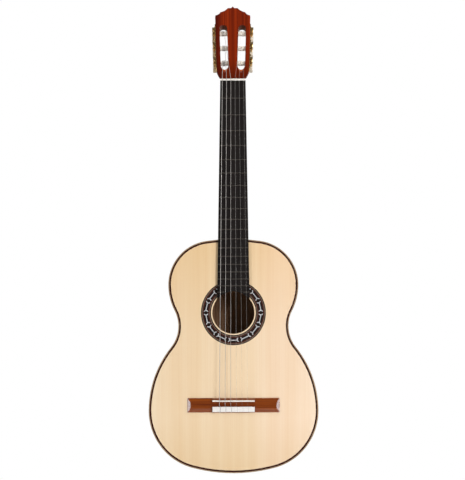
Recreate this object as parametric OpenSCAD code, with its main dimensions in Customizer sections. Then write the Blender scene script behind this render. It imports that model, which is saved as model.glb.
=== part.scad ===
/* [Scale and strings] */
// Vibrating string length, nut to saddle before compensation
scale_len = 650; // [600:5:670]
// Extra length that the saddle adds to stay in tune
compensation = 1.5; // [0:0.5:4]
// Number of frets
fret_count = 19; // [17:1:20]
// Distance between the two outer strings at the nut
nut_spread = 43.5; // [38:0.5:45]
// Distance between the two outer strings at the saddle
saddle_spread = 57; // [50:0.5:62]
// Turns of each string on its roller
winding_turns = 3; // [2:1:4]
// Step between two turns on a roller
winding_pitch = 1.6; // [1.55:0.05:1.9]

/* [Body outline] */
// Length of the body from the neck joint to the tail
body_len = 473; // [440:1:500]
// Width across the lower bout
lower_bout = 343.8; // [330:0.1:375]
// Width across the waist
waist_w = 224; // [205:1:240]
// Width across the upper bout
upper_bout = 265; // [250:1:290]
// Height of the widest place of the lower bout, as a share of the body length
lower_bout_share = 0.2655; // [0.25:0.001:0.285]
// Height of the widest place of the upper bout, as a share of the body length
upper_bout_share = 0.804; // [0.77:0.001:0.83]
// Radius of the lower bout below its widest place, as a share of its height above the tail
lower_low_share = 0.9445; // [0.8:0.005:0.98]
// Radius of the lower bout above its widest place, as a share of the body length
lower_high_share = 0.43; // [0.36:0.005:0.5]
// Radius of the upper bout below its widest place, as a share of the body length
upper_low_share = 0.2445; // [0.2:0.005:0.28]
// Radius of the upper bout above its widest place, as a share of its drop below the joint
upper_high_share = 0.9675; // [0.84:0.005:0.985]

/* [Body depth and walls] */
// Depth of the body at the neck joint
heel_depth = 94; // [85:1:100]
// Depth of the body at the tail
tail_depth = 98; // [88:1:108]
// Radius of the arched back
back_r = 4500; // [3500:100:6000]
// Thickness of the soundboard
top_t = 2.6; // [2:0.1:3.5]
// Thickness of the back
back_t = 2.8; // [2:0.1:3.5]
// Thickness of the ribs
rib_t = 2; // [1.6:0.1:2.6]
// Height of the edge bindings
binding_h = 6; // [4:0.5:8]
// Width of the purfling line inside the top binding
purfling_w = 3.4; // [0.8:0.1:3.8]
// Depth of the purfling line and of the rosette channel
inlay_t = 1.2; // [0.8:0.1:1.6]
// Width of the linings
lining_w = 6; // [4:0.5:8]
// Height of the linings
lining_h = 15; // [10:1:20]

/* [Soundhole and rosette] */
// Distance of the soundhole centre from the neck joint
hole_drop = 150; // [142:1:160]
// Diameter of the soundhole
hole_d = 86; // [80:1:88]
// Inner diameter of the rosette
rosette_in_d = 91; // [90:1:100]
// Outer diameter of the rosette
rosette_out_d = 132; // [124:1:140]
// Number of shell links in the rosette
link_count = 14; // [10:1:18]
// Diameter of the dots between the shell links
dot_d = 7.4; // [6:0.1:8]
// Width of the bar and of the horns of a shell link
link_bar_w = 1.7; // [1:0.1:2]
// Thickness of the shell
link_t = 0.8; // [0.5:0.1:1]

/* [Fretboard, nut and neck] */
// Width of the fretboard at the nut
nut_w = 52; // [50:0.5:54]
// Width of the fretboard at the body joint
joint_w = 62; // [60:0.5:64]
// Thickness of the fretboard
board_t = 6.5; // [5:0.5:8]
// Width of a fret crown
crown_w = 2.2; // [2:0.1:3]
// Height of a fret crown
crown_h = 1.1; // [0.8:0.1:1.4]
// Thickness of a fret tang
tang_w = 0.6; // [0.5:0.1:0.8]
// Depth of a fret tang
tang_h = 2; // [1.5:0.1:3]
// Thickness of the nut along the strings
nut_t = 3.6; // [3:0.1:6]
// Room between the lowest string and the frets at the nut
nut_action = 0.55; // [0.4:0.05:0.9]
// Depth of the neck wood at the nut
neck_t = 15; // [13:0.5:17]
// Depth of the neck wood before the heel
neck_heel_t = 18; // [16:0.5:20]
// Length of the curve of the heel
heel_curve = 62; // [45:1:75]
// Thickness of the heel along the strings at the heel cap
heel_t = 16; // [10:1:22]
// Thickness of the heel cap
heel_cap_t = 3; // [2:0.5:4]
// Length of the neck block inside the body
foot_len = 38; // [30:1:48]
// Width of the neck block inside the body
foot_w = 64; // [56:1:72]

/* [Head] */
// Angle of the head behind the fretboard
head_tilt = 15; // [10:1:17]
// Thickness of the head without its veneer
head_t = 17; // [16:0.5:20]
// Thickness of the head veneer
veneer_t = 2; // [1:0.5:3]
// Length of the head along its face
head_len = 174.4; // [165:0.1:185]
// Width of the head below its crest
head_top_w = 74.8; // [70:0.1:77]
// Width of the head at its lower shoulders
head_low_w = 66.8; // [65:0.1:69]
// Radius of the lower shoulders
shoulder_r = 22; // [19:0.5:24]
// Width of a head slot
slot_w = 16; // [14:0.5:17]
// Lower end of the head slots above the nut
slot_low = 24.4; // [22:0.1:27]
// Upper end of the head slots above the nut
slot_high = 128.8; // [124:0.1:130]
// Wood between a slot and the side of the head
slot_wall = 8.7; // [8:0.1:10]

/* [Tuning machines] */
// Distance between two rollers
roller_pitch = 35.5; // [35:0.5:36]
// Height of the middle roller above the nut
roller_mid = 78; // [77:0.2:80]
// Diameter of a roller
roller_d = 10; // [9:0.1:10.4]
// Length of a roller
roller_len = 31.6; // [29:0.1:33]
// Diameter of the axle of a roller
axle_d = 4.8; // [4:0.1:5.2]
// Thickness of a machine plate
plate_t = 1.5; // [1.2:0.1:2]
// Length of a machine plate
plate_len = 104; // [103:1:108]
// Width of a machine plate
plate_w = 15; // [14.5:0.1:16]
// Teeth of a gear
gear_teeth = 16; // [14:1:16]
// Module of the gear teeth
gear_module = 0.8; // [0.76:0.01:0.82]
// Width of a gear across its teeth
gear_face = 2.8; // [2.4:0.1:3.2]
// Pitch diameter of a worm
worm_pitch_d = 5.2; // [5:0.1:5.6]
// Diameter of the shaft of a worm
worm_shaft_d = 3; // [2.6:0.1:3.2]
// Distance of a gear from its plate
gear_gap = 1.1; // [0.8:0.1:1.5]
// Width of a button
button_w = 20; // [16:0.5:22]
// Thickness of a button
button_t = 8; // [7:0.5:9]
// Length of a button
button_len = 20; // [16:0.5:22]
// Distance from the roller axis back to the button
button_drop = 19; // [16:0.5:21]

/* [Bridge] */
// Length of the bridge
bridge_len = 186; // [175:1:195]
// Width of the bridge along the strings
bridge_w = 28.5; // [27:0.5:30]
// Height of the arched wings
wing_h = 4.2; // [3.5:0.1:5]
// Height of the front wall that holds the saddle
wall_h = 8.5; // [7.5:0.1:9.5]
// Length of the saddle and of the tie block
tie_len = 85; // [80:1:92]
// Width of the tie block along the strings
tie_w = 10.4; // [9:0.1:12]
// Height of the tie block without its cap
tie_h = 8; // [7:0.1:9]
// Thickness of the tie block cap
cap_t = 1; // [0.6:0.1:1.5]
// Thickness of the saddle
saddle_t = 2.4; // [2:0.1:3]
// Height of the saddle above the soundboard
saddle_h = 12; // [10.5:0.1:13]

/* [Hidden] */
$fn = 48;
// Room between a turning piece and its bearing
run_gap = 0.05;
// Room between a roller and the string wound on it
wind_gap = 0.3;
// Room round a piece that is pressed or screwed into another
press_gap = 0.01;
// Room under a piece that is glued to the arched back
glue_gap = 0.05;
// Length by which a cutting shape passes a face
over = 1;
// Diameters of the strings, from the first to the sixth
string_d = [0.71, 0.82, 1.02, 0.74, 0.89, 1.1];

// Heights along the strings, with the nut at zero and the tail below
joint_y = -scale_len / 2;
tail_y = joint_y - body_len;
hole_y = joint_y - hole_drop;
saddle_y = -scale_len - compensation;
binding_w = rib_t;
lining_off = rib_t + lining_w;
// Reach of a cutting shape past the whole body
far = body_len;

// Outline of the body, made of arcs that run into each other
lower_bout_h = lower_bout_share * body_len;
upper_bout_h = upper_bout_share * body_len;
lower_low_r = lower_low_share * lower_bout_h;
lower_high_r = lower_high_share * body_len;
upper_low_r = upper_low_share * body_len;
upper_high_r = upper_high_share * (body_len - upper_bout_h);
lower_x = lower_bout / 2;
upper_x = upper_bout / 2;
waist_x = waist_w / 2;
lower_y = tail_y + lower_bout_h;
upper_y = tail_y + upper_bout_h;
low_c = [lower_x - lower_low_r, lower_y];
mid_low_c = [lower_x - lower_high_r, lower_y];
mid_high_c = [upper_x - upper_low_r, upper_y];
high_c = [upper_x - upper_high_r, upper_y];
function end_r(cx, h, r) = (cx * cx + h * h - r * r) / (2 * (h - r));
tail_r = end_r(low_c[0], lower_bout_h, lower_low_r);
crown_r = end_r(high_c[0], joint_y - upper_y, upper_high_r);
tail_c = [0, tail_y + tail_r];
crown_c = [0, joint_y - crown_r];
waist_low = lower_x - waist_x;
waist_high = upper_x - waist_x;
function waist_rise(r) = sqrt(waist_low * (2 * r + 2 * lower_high_r - waist_low));
function waist_fall(r) = sqrt(waist_high * (2 * r + 2 * upper_low_r - waist_high));
function waist_fit(lo, hi, steps) =
    let (r = (lo + hi) / 2)
    steps == 0 ? r
    : waist_rise(r) + waist_fall(r) < upper_y - lower_y ? waist_fit(r, hi, steps - 1)
    : waist_fit(lo, r, steps - 1);
fit_steps = 40;
waist_r = waist_fit(0, body_len, fit_steps);
waist_c = [waist_x + waist_r, lower_y + waist_rise(waist_r)];
function heading(a, b) = atan2(b[1] - a[1], b[0] - a[0]);
tail_a = heading(tail_c, low_c);
low_a = heading(mid_low_c, waist_c);
high_a = heading(mid_high_c, waist_c);
crown_a = heading(crown_c, high_c);
function arc(c, r, a, b, n) = [for (i = [0 : n - 1]) let (t = a + (b - a) * i / n) c + r * [cos(t), sin(t)]];
function half_outline(off) = concat(
    arc(tail_c, tail_r - off, -90, tail_a, 6),
    arc(low_c, lower_low_r - off, tail_a, 0, 24),
    arc(mid_low_c, lower_high_r - off, 0, low_a, 14),
    arc(waist_c, waist_r + off, 180 + low_a, 180 + high_a, 18),
    arc(mid_high_c, upper_low_r - off, high_a, 0, 8),
    arc(high_c, upper_high_r - off, 0, crown_a, 24),
    arc(crown_c, crown_r - off, crown_a, 90, 4),
    [[0, joint_y - off]]);
function outline(off) =
    let (h = half_outline(off))
    concat(h, [for (i = [len(h) - 2 : -1 : 1]) [-h[i][0], h[i][1]]]);

// Centre of the arched back, in a plane along the strings
back_mid = [(joint_y + tail_y) / 2, -(heel_depth + tail_depth) / 2];
back_dir = [body_len, tail_depth - heel_depth] / norm([body_len, tail_depth - heel_depth]);
back_rise = sqrt(back_r * back_r - (body_len * body_len + pow(tail_depth - heel_depth, 2)) / 4);
back_c = back_mid + back_rise * [-back_dir[1], back_dir[0]];

// Frets and fretboard
function fret_y(n) = -scale_len * (1 - pow(2, -n / 12));
function board_w(y) = nut_w + (joint_w - nut_w) * y / joint_y;
// Wood left between the last fret and the cut of the soundhole
fret_rim = 3;
fret_cut_r = hole_d / 2 + fret_rim;
// Length of the fretboard past the last fret
board_past = 17;
board_end = fret_y(fret_count) - board_past;
fret_top = board_t + crown_h;

// Strings along the fretboard
string_low = fret_top + nut_action;
nut_top = string_low + 0.4;
function string_side(i) = (3.5 - i) / 2.5;
function nut_x(i) = string_side(i) * nut_spread / 2;
function saddle_x(i) = string_side(i) * saddle_spread / 2;

// Bridge along the strings
// Wood of the bridge in front of the middle of the saddle
saddle_front = 4.25;
bridge_front = saddle_y + saddle_front;
bridge_back = bridge_front - bridge_w;
// Ledge of the bridge behind the tie block
tie_inset = 2;
tie_back = bridge_back + tie_inset;
tie_front = tie_back + tie_w;
trough_z = wing_h + 0.3;
tie_hole_r = 0.9;
tie_hole_z = trough_z + 1.4;

// Head, whose frame starts behind the nut
head_low = 20;
crest_drop = 25.9;
head_high = head_len - crest_drop;
head_lean = atan((head_top_w - head_low_w) / 2 / (head_high - head_low));
function side_x(v) = head_low_w / 2 + (v - head_low) * tan(head_lean);
roller_n = -head_t / 2;
roller_rows = [-roller_pitch, 0, roller_pitch];
slot_c = -slot_wall - slot_w / 2;

// Gear and worm
gear_pitch_r = gear_module * gear_teeth / 2;
gear_tip_r = gear_pitch_r + 0.75 * gear_module;
gear_root_r = gear_pitch_r - 1.25 * gear_module;
worm_lead = PI * gear_module;
worm_tip_r = worm_pitch_d / 2 + 0.75 * gear_module;
worm_root_r = worm_pitch_d / 2 - gear_module;
worm_gap = gear_pitch_r + worm_pitch_d / 2;
worm_lead_a = atan(worm_lead / (PI * worm_pitch_d));
tooth_w = 0.34 * worm_lead;
flank = tan(20);
worm_len = 9;
post_t = 2.4;
gear_in = plate_t + gear_gap;
gear_mid = gear_in + gear_face / 2;
post_out = gear_mid + worm_shaft_d / 2 + 1.5;
plate_shift = 3;
screw_rows = [-46.3, -15, 20, 51.5];
screw_r = 1.2;
screw_len = 7;

module part_frame() rotate([90, 0, 0]) children();
module head_frame() translate([0, nut_t, 0]) rotate([-head_tilt, 0, 0]) children();
// Frame of one side of the head: x points out of the side, y up along it
module side_frame(side) head_frame()
    mirror([side > 0 ? 0 : 1, 0, 0])
    translate([side_x(roller_mid), roller_mid, 0]) rotate([0, 0, -head_lean]) children();
module slab(off, low, high) translate([0, 0, low]) linear_extrude(high - low) polygon(outline(off));
module ring(out, in, low, high) difference() {
    slab(out, low, high);
    slab(in, low - over, high + over);
}
// Space inside the arched back, up to a distance above its outer face
module dome(above) translate([0, back_c[0], back_c[1]]) sphere(r = back_r - above, $fn = 360);
function around(c, w) = [c - w / 2, c + w / 2];
module block(x, y, z) translate([x[0], y[0], z[0]]) cube([x[1] - x[0], y[1] - y[0], z[1] - z[0]]);
module soundhole(r, low, high) translate([0, hole_y, low]) cylinder(r = r, h = high - low, $fn = 96);
// Depth past the arched back at which cutting shapes start
deep = -1.4 * tail_depth;

// Soundboard and its inlays
module soundboard() color("burlywood") part_frame() difference() {
    slab(binding_w, -top_t, 0);
    purfling_ring(over);
    soundhole(hole_d / 2, -top_t - over, over);
    rosette_ring(over);
}
module purfling_ring(above) ring(binding_w, binding_w + purfling_w, -inlay_t, above);
module rosette_ring(above) difference() {
    soundhole(rosette_out_d / 2, -inlay_t, above);
    soundhole(rosette_in_d / 2, -inlay_t - over, above + over);
}
module top_purfling() color("black") part_frame() intersection() {
    purfling_ring(0);
    slab(0, -inlay_t, 0);
}
module rosette() color("saddlebrown") part_frame() difference() {
    rosette_ring(0);
    links(over);
}
module rosette_links() color("white") part_frame() links(0);
module links(above) for (i = [0 : link_count - 1])
    translate([0, hole_y, -link_t]) rotate(link_half_a * (2 * i - link_count / 2))
    linear_extrude(link_t + above) link();
// One link: a bar along the ring with a horn round the dot at each end
link_ring_r = (rosette_in_d + rosette_out_d) / 4;
link_half_a = 180 / link_count;
horn_a = 60;
horn_r = dot_d / 2 + link_bar_w;
bar_len = 2 * link_ring_r * sin(link_half_a) - dot_d - link_bar_w;
module link() {
    translate([link_ring_r, 0]) square([link_bar_w, bar_len], center = true);
    for (end = [-1, 1]) rotate(end * link_half_a) translate([link_ring_r, 0]) rotate(-end * 90) horn();
}
module horn() difference() {
    intersection() {
        circle(horn_r);
        polygon([[0, 0], 3 * horn_r * [cos(horn_a), sin(horn_a)], 3 * horn_r * [cos(horn_a), -sin(horn_a)]]);
    }
    circle(d = dot_d);
}

// Ribs, bindings and linings
module rib_ring() intersection() {
    ring(0, rib_t, deep, -binding_h);
    dome(binding_h);
}
graft_w = 20;
rib_end_x = 16;
// Length by which a gap in the ribs reaches into the body
gap_reach = 20;
module tail_gap() block([-graft_w / 2, graft_w / 2], [tail_y - over, tail_y + gap_reach], [deep, over]);
module heel_gap() block([-rib_end_x, rib_end_x], [joint_y - gap_reach, joint_y + over], [deep, over]);
module rib(side) intersection() {
    difference() {
        rib_ring();
        tail_gap();
        heel_gap();
    }
    mirror([side > 0 ? 0 : 1, 0, 0]) block([0, far], [tail_y - over, joint_y + over], [deep, over]);
}
module rib_left() color("saddlebrown") part_frame() rib(-1);
module rib_right() color("saddlebrown") part_frame() rib(1);
module end_graft() color("maroon") part_frame() intersection() {
    rib_ring();
    tail_gap();
}
neck_half = joint_w / 2;
module top_binding() color("maroon") part_frame() difference() {
    ring(0, binding_w, -binding_h, 0);
    block([-neck_half, neck_half], [joint_y - gap_reach, joint_y + over], [-binding_h - over, over]);
}
module back_binding() color("maroon") part_frame() difference() {
    intersection() {
        ring(0, binding_w, deep, -binding_h);
        dome(0);
    }
    dome(binding_h);
    heel_gap();
}
module back_plate() color("saddlebrown") part_frame() difference() {
    intersection() {
        slab(binding_w, deep, -binding_h);
        dome(0);
    }
    dome(back_t);
}
block_w = 60;
block_t = 15;
module tail_space() block([-block_w / 2, block_w / 2], [tail_y, tail_y + rib_t + block_t], [deep, over]);
module foot_space() block([-foot_w / 2, foot_w / 2], [joint_y - rib_t - foot_len, joint_y], [deep, over]);
module top_linings() color("tan") part_frame() difference() {
    ring(rib_t, lining_off, -top_t - lining_h, -top_t);
    tail_space();
    foot_space();
}
module back_linings() color("tan") part_frame() difference() {
    intersection() {
        ring(rib_t, lining_off, deep, -binding_h);
        dome(back_t);
    }
    dome(back_t + lining_h);
    tail_space();
    foot_space();
}

// Bars and blocks inside the body
bar_w = 6;
bar_h = 12;
bar_gap = 14;
bar_rows = [hole_y + hole_d / 2 + bar_gap, hole_y - hole_d / 2 - bar_gap];
module harmonic_bars() color("tan") part_frame() intersection() {
    for (y = bar_rows) block([-far, far], [y - bar_w / 2, y + bar_w / 2], [-top_t - bar_h, -top_t]);
    slab(lining_off, deep, 0);
}
patch_x = 0.8 * hole_d;
patch_t = 1.5;
module soundhole_patch() color("tan") part_frame() difference() {
    block([-patch_x, patch_x], [bar_rows[1] + bar_w / 2, bar_rows[0] - bar_w / 2],
          [-top_t - patch_t, -top_t]);
    soundhole(hole_d / 2, -top_t - patch_t - over, 0);
}
fan_count = 7;
fan_w = 5;
fan_h = 6;
fan_top = bar_rows[1] - bar_w / 2;
fan_tail_gap = 45;
fan_low = tail_y + fan_tail_gap;
fan_rise = 25;
fan_fall = 30;
fan_inset = 2;
fan_top_step = 15;
fan_low_step = 31;
// Share of its distance from the middle by which a brace stops higher above the tail
fan_lift = 0.27;
module fan_braces() color("tan") part_frame()
    for (k = [0 : fan_count - 1]) let (i = k - (fan_count - 1) / 2)
    fan_brace(i * fan_top_step, i * fan_low_step);
// One fan brace, from a place on the lower bar to a place near the tail
module fan_brace(x0, x1) {
    run = fan_top - fan_inset - fan_low - fan_lift * abs(x1);
    lean = atan((x1 - x0) / run);
    size = run / cos(lean) - 2 * fan_inset;
    translate([x0, fan_top - fan_inset, -top_t]) rotate([0, 0, lean - 90]) rotate([90, 0, 0])
        translate([0, 0, -fan_w / 2]) linear_extrude(fan_w)
        polygon([[0, 0], [0, -fan_h / 3], [fan_rise, -fan_h], [size - fan_fall, -fan_h],
            [size, -fan_h / 3], [size, 0]]);
}
back_bar_w = 8;
back_bar_h = 16;
back_bar_drop = [15, 20];
back_bar_rows = [upper_y - back_bar_drop[0], (upper_y + lower_y) / 2, lower_y - back_bar_drop[1]];
module back_bar_space() for (y = back_bar_rows)
    block([-far, far], [y - back_bar_w / 2, y + back_bar_w / 2], [deep, over]);
module back_braces() color("tan") part_frame() difference() {
    intersection() {
        back_bar_space();
        slab(lining_off, deep, -binding_h);
        dome(back_t);
    }
    dome(back_t + back_bar_h);
}
strip_w = 14;
strip_t = 2.5;
module back_strip() color("tan") part_frame() difference() {
    intersection() {
        block([-strip_w / 2, strip_w / 2], [tail_y + rib_t + block_t, joint_y - rib_t - foot_len], [deep, 0]);
        dome(back_t + glue_gap);
    }
    dome(back_t + strip_t);
    back_bar_space();
}
module tail_block() color("tan") part_frame() intersection() {
    tail_space();
    slab(rib_t, deep, -top_t);
    dome(back_t);
}

// Neck, lofted from the nut through the curve of the heel to the body
heel_top = joint_y + heel_t;
heel_start = heel_top + heel_curve;
// The heel's sections run deeper than its cap, which cuts them flat
heel_full = heel_depth * 1.15;
heel_steps = 10;
function heel_depth_at(y) = y >= heel_start
    ? neck_t + (neck_heel_t - neck_t) * (nut_t - y) / (nut_t - heel_start)
    : let (s = min(1, (heel_start - y) / heel_curve)) heel_full - (heel_full - neck_heel_t) * sqrt(1 - s * s);
neck_rows = concat([nut_t, 0, heel_start],
    [for (i = [1 : heel_steps]) heel_start - heel_curve * sin(90 * i / heel_steps)],
    [joint_y - 2 * rib_t]);
neck_sides = 16;
function neck_section(y) = let (d = heel_depth_at(y)) [for (i = [0 : neck_sides])
    let (t = 180 * i / neck_sides) [board_w(y) / 2 * cos(t), y, -d * sin(t)]];
// Skin over a row of closed sections that have the same number of points
module loft(sections) {
    n = len(sections[0]);
    m = len(sections);
    polyhedron([for (s = sections) each s], concat(
        [[for (i = [n - 1 : -1 : 0]) i]],
        [for (j = [0 : m - 2], i = [0 : n - 1]) let (k = (i + 1) % n) each
            [[j * n + i, j * n + k, (j + 1) * n + k], [j * n + i, (j + 1) * n + k, (j + 1) * n + i]]],
        [[for (i = [0 : n - 1]) (m - 1) * n + i]]));
}
module neck_loft() loft([for (y = neck_rows) neck_section(y)]);
// Scarf joint between neck and head, cut only as far as it passes through the neck
scarf_len = 1.5 * neck_heel_t / sin(head_tilt);
module scarf() translate([0, nut_t, 0]) rotate([head_tilt, 0, 0])
    block([-far, far], [-scarf_len, 0], [-scarf_len, 0]);
cap_z = heel_cap_t - heel_depth;
// Length by which the neck runs into its block inside the body
foot_lap = 0.5;
module neck() color("sienna") part_frame() difference() {
    union() {
        difference() {
            neck_loft();
            slab(rib_t, -top_t, over);
            slab(rib_t + foot_lap, deep, -top_t);
            scarf();
            block([-far, far], [-far * 2, far], [-far, cap_z]);
        }
        intersection() {
            foot_space();
            slab(rib_t, deep, -top_t);
            dome(back_t);
        }
    }
    difference() {
        ring(0, rib_t, deep, -binding_h);
        heel_gap();
    }
}
module heel_cap() color("maroon") part_frame() difference() {
    intersection() {
        neck_loft();
        block([-rib_end_x, rib_end_x], [joint_y - gap_reach, heel_start], [-heel_depth, cap_z]);
    }
    slab(rib_t, deep, over);
}

// Head with its crest, slots and roller bores
crest_tip_w = 3.3;
crest_tip_h = 4;
// Width by which the outer corner of the crest stands in from the side of the head
crest_nip = 0.8;
// Corners of the crest on one side, from the tip outwards, and the hollows between them
crest_flat = [10.4, head_len - crest_tip_h];
crest_step = [26.2, crest_flat[1] - 10.1];
crest_end = [head_top_w / 2 - crest_nip, crest_flat[1] - 17.9];
crest_sag = 1.7;
function hollow(p, q, sag, n) = let (d = q - p, side = [-d[1], d[0]] / norm(d))
    [for (i = [0 : n - 1]) let (s = i / n) p + d * s + 4 * sag * s * (1 - s) * side];
shoulder_x = head_low_w / 2 - shoulder_r;
shoulder_a = -acos((nut_w / 2 - shoulder_x) / shoulder_r);
function head_half() = concat(
    [[nut_w / 2, 0]],
    arc([shoulder_x, head_low], shoulder_r, shoulder_a, 0, 8),
    [[head_low_w / 2, head_low], [head_top_w / 2, head_high]],
    hollow(crest_end, crest_step, crest_sag, 6),
    hollow(crest_step, crest_flat, crest_sag, 8),
    [crest_flat, [crest_tip_w, crest_flat[1]]]);
function mirrored(h) = [for (i = [len(h) - 1 : -1 : 0]) [-h[i][0], h[i][1]]];
module head_plan() polygon(concat(head_half(), [[0, head_len]], mirrored(head_half())));
// Flat cuts that take the back of the lower shoulders in towards the neck, and where they start
shoulder_slope = 24;
shoulder_start = 2.2;
shoulder_ends = [[nut_w / 2, head_low + shoulder_r * sin(shoulder_a)], [head_low_w / 2, head_low]];
module shoulder_cuts() for (side = [0, 1]) mirror([side, 0, 0]) head_frame()
    translate(shoulder_ends[0]) rotate(heading(shoulder_ends[0], shoulder_ends[1]) - 90)
    translate([shoulder_start, 0, 0]) rotate([0, shoulder_slope, 0]) block([0, far], [-far, far], [-far, 0]);
slot_from = slot_low - roller_mid + slot_w / 2;
slot_to = slot_high - roller_mid - slot_w / 2;
module slot_plan() translate([slot_c, 0]) polygon(concat(
    arc([0, slot_to], slot_w / 2, 0, 180, 12), [[-slot_w / 2, slot_to]],
    arc([0, slot_from], slot_w / 2, 180, 360, 12), [[slot_w / 2, slot_from]]));
module slots(low, high) for (side = [-1, 1])
    side_frame(side) translate([0, 0, low]) linear_extrude(high - low) slot_plan();
// Round channel that leads the strings down into the lower end of a slot
ramp_a = 25;
ramp_reach = 9.8;
ramp_edge = 0.8;
ramp_r = slot_w / 2 - ramp_edge;
module ramps() for (side = [-1, 1])
    side_frame(side) translate([slot_c, slot_low - roller_mid - ramp_reach, veneer_t])
    rotate([-ramp_a, 0, 0]) translate([0, 0, ramp_r]) rotate([-90, 0, 0]) cylinder(r = ramp_r, h = slot_w);
roller_end = 0.2;
module headstock() color("sienna") part_frame() difference() {
    union() {
        difference() {
            head_frame() translate([0, 0, -head_t]) linear_extrude(head_t) head_plan();
            shoulder_cuts();
        }
        intersection() {
            neck_loft();
            scarf();
            block([-far, far], [-far / 2, nut_t], [-far, over]);
        }
    }
    slots(-head_t - over, over);
    ramps();
    for (side = [-1, 1], w = roller_rows) side_frame(side) translate([over, w, roller_n]) rotate([0, -90, 0])
        cylinder(d = roller_d + 2 * run_gap, h = roller_len + 2 * roller_end + over);
    for (side = [-1, 1], w = screw_rows) side_frame(side) translate([over, w, roller_n]) rotate([0, -90, 0])
        cylinder(r = screw_r + 2 * press_gap, h = screw_len + over);
}
module head_veneer() color("maroon") part_frame() difference() {
    head_frame() linear_extrude(veneer_t) head_plan();
    slots(-over, veneer_t + over);
    ramps();
    block([-far, far], [-far, nut_t], [-over, far]);
}

// Fretboard, frets and nut
module board_plan() polygon([[-board_w(0) / 2, 0], [-board_w(board_end) / 2, board_end],
    [board_w(board_end) / 2, board_end], [board_w(0) / 2, 0]]);
module fretboard() color("dimgray") part_frame() difference() {
    linear_extrude(board_t) board_plan();
    soundhole(hole_d / 2, -over, board_t + over);
    difference() {
        for (n = [1 : fret_count]) block([-far, far], around(fret_y(n), tang_w), [board_t - tang_h, far]);
        soundhole(fret_cut_r, -over, 2 * far);
    }
}
crown_round = (crown_w * crown_w / 4 + crown_h * crown_h) / (2 * crown_h);
module fret(n) translate([0, fret_y(n), board_t]) rotate([90, 0, 90])
    translate([0, 0, -board_w(fret_y(n)) / 2]) linear_extrude(board_w(fret_y(n))) {
        intersection() {
            translate([0, crown_h - crown_round]) circle(crown_round);
            translate([-crown_w, 0]) square([2 * crown_w, crown_h * 2]);
        }
        translate([-tang_w / 2, -tang_h]) square([tang_w, tang_h + crown_h / 2]);
    }
module frets() color("silver") part_frame() difference() {
    for (n = [1 : fret_count]) fret(n);
    soundhole(fret_cut_r, -over, far);
}
groove_gap = 0.06;
module nut() color("ivory") part_frame() difference() {
    block([-nut_w / 2, nut_w / 2], [0, nut_t], [0, nut_top]);
    for (i = [1 : 6]) translate([nut_x(i), -over, string_low + string_d[i - 1] / 2]) rotate([-90, 0, 0])
        cylinder(d = string_d[i - 1] + 2 * groove_gap, h = nut_t + 2 * over);
}

// Bridge
wing_edge_h = 2.2;
wing_round = (bridge_w * bridge_w / 4 + pow(wing_h - wing_edge_h, 2)) / (2 * (wing_h - wing_edge_h));
bridge_mid = (bridge_front + bridge_back) / 2;
// Wood kept in front of the saddle and behind it
saddle_wall = 1.5;
wall_front = saddle_y + saddle_t / 2 + saddle_wall;
wall_back = saddle_y - saddle_t / 2 - saddle_wall;
end_slope = 18;
module bridge() color("saddlebrown") part_frame() difference() {
    union() {
        intersection() {
            block([-bridge_len / 2, bridge_len / 2], [bridge_back, bridge_front], [0, wing_h + over]);
            translate([-bridge_len, bridge_mid, wing_h - wing_round]) rotate([0, 90, 0])
                cylinder(r = wing_round, h = 2 * bridge_len, $fn = 180);
        }
        block([-tie_len / 2, tie_len / 2], [bridge_back, bridge_front], [0, trough_z]);
        block([-tie_len / 2, tie_len / 2], [tie_back, tie_front], [0, tie_h]);
        rotate([90, 0, 90]) translate([0, 0, -tie_len / 2]) linear_extrude(tie_len)
            polygon([[bridge_front, 0], [bridge_front, wing_edge_h + over], [wall_front, wall_h],
                [wall_back, wall_h], [wall_back, 0]]);
    }
    block([-tie_len / 2 - over, tie_len / 2 + over], around(saddle_y, saddle_t), [trough_z, far]);
    for (i = [1 : 6]) translate([saddle_x(i), tie_front + over, tie_hole_z]) rotate([90, 0, 0])
        cylinder(r = tie_hole_r, h = tie_w + 2 * over);
    for (side = [-1, 1]) translate([side * bridge_len / 2, 0, wing_edge_h]) rotate([0, side * end_slope, 0])
        block([-tie_w, tie_w], [bridge_back - over, bridge_front + over], [0, tie_w]);
}
module saddle() color("ivory") part_frame() intersection() {
    block([-tie_len / 2, tie_len / 2], around(saddle_y, saddle_t), [trough_z, saddle_h]);
    translate([-tie_len, saddle_y, saddle_h - saddle_t]) rotate([0, 90, 0])
        linear_extrude(2 * tie_len) translate([-saddle_t, 0]) saddle_profile();
}
// Section of the saddle, with a crest rounder than its sides
module saddle_profile() intersection() {
    translate([saddle_t, 0]) circle(saddle_t);
    translate([0, -saddle_t]) square([saddle_t + saddle_h, 2 * saddle_t]);
}
module tie_block_cap() color("white") part_frame()
    block([-tie_len / 2, tie_len / 2], [tie_back, tie_front], [tie_h, tie_h + cap_t]);

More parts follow.
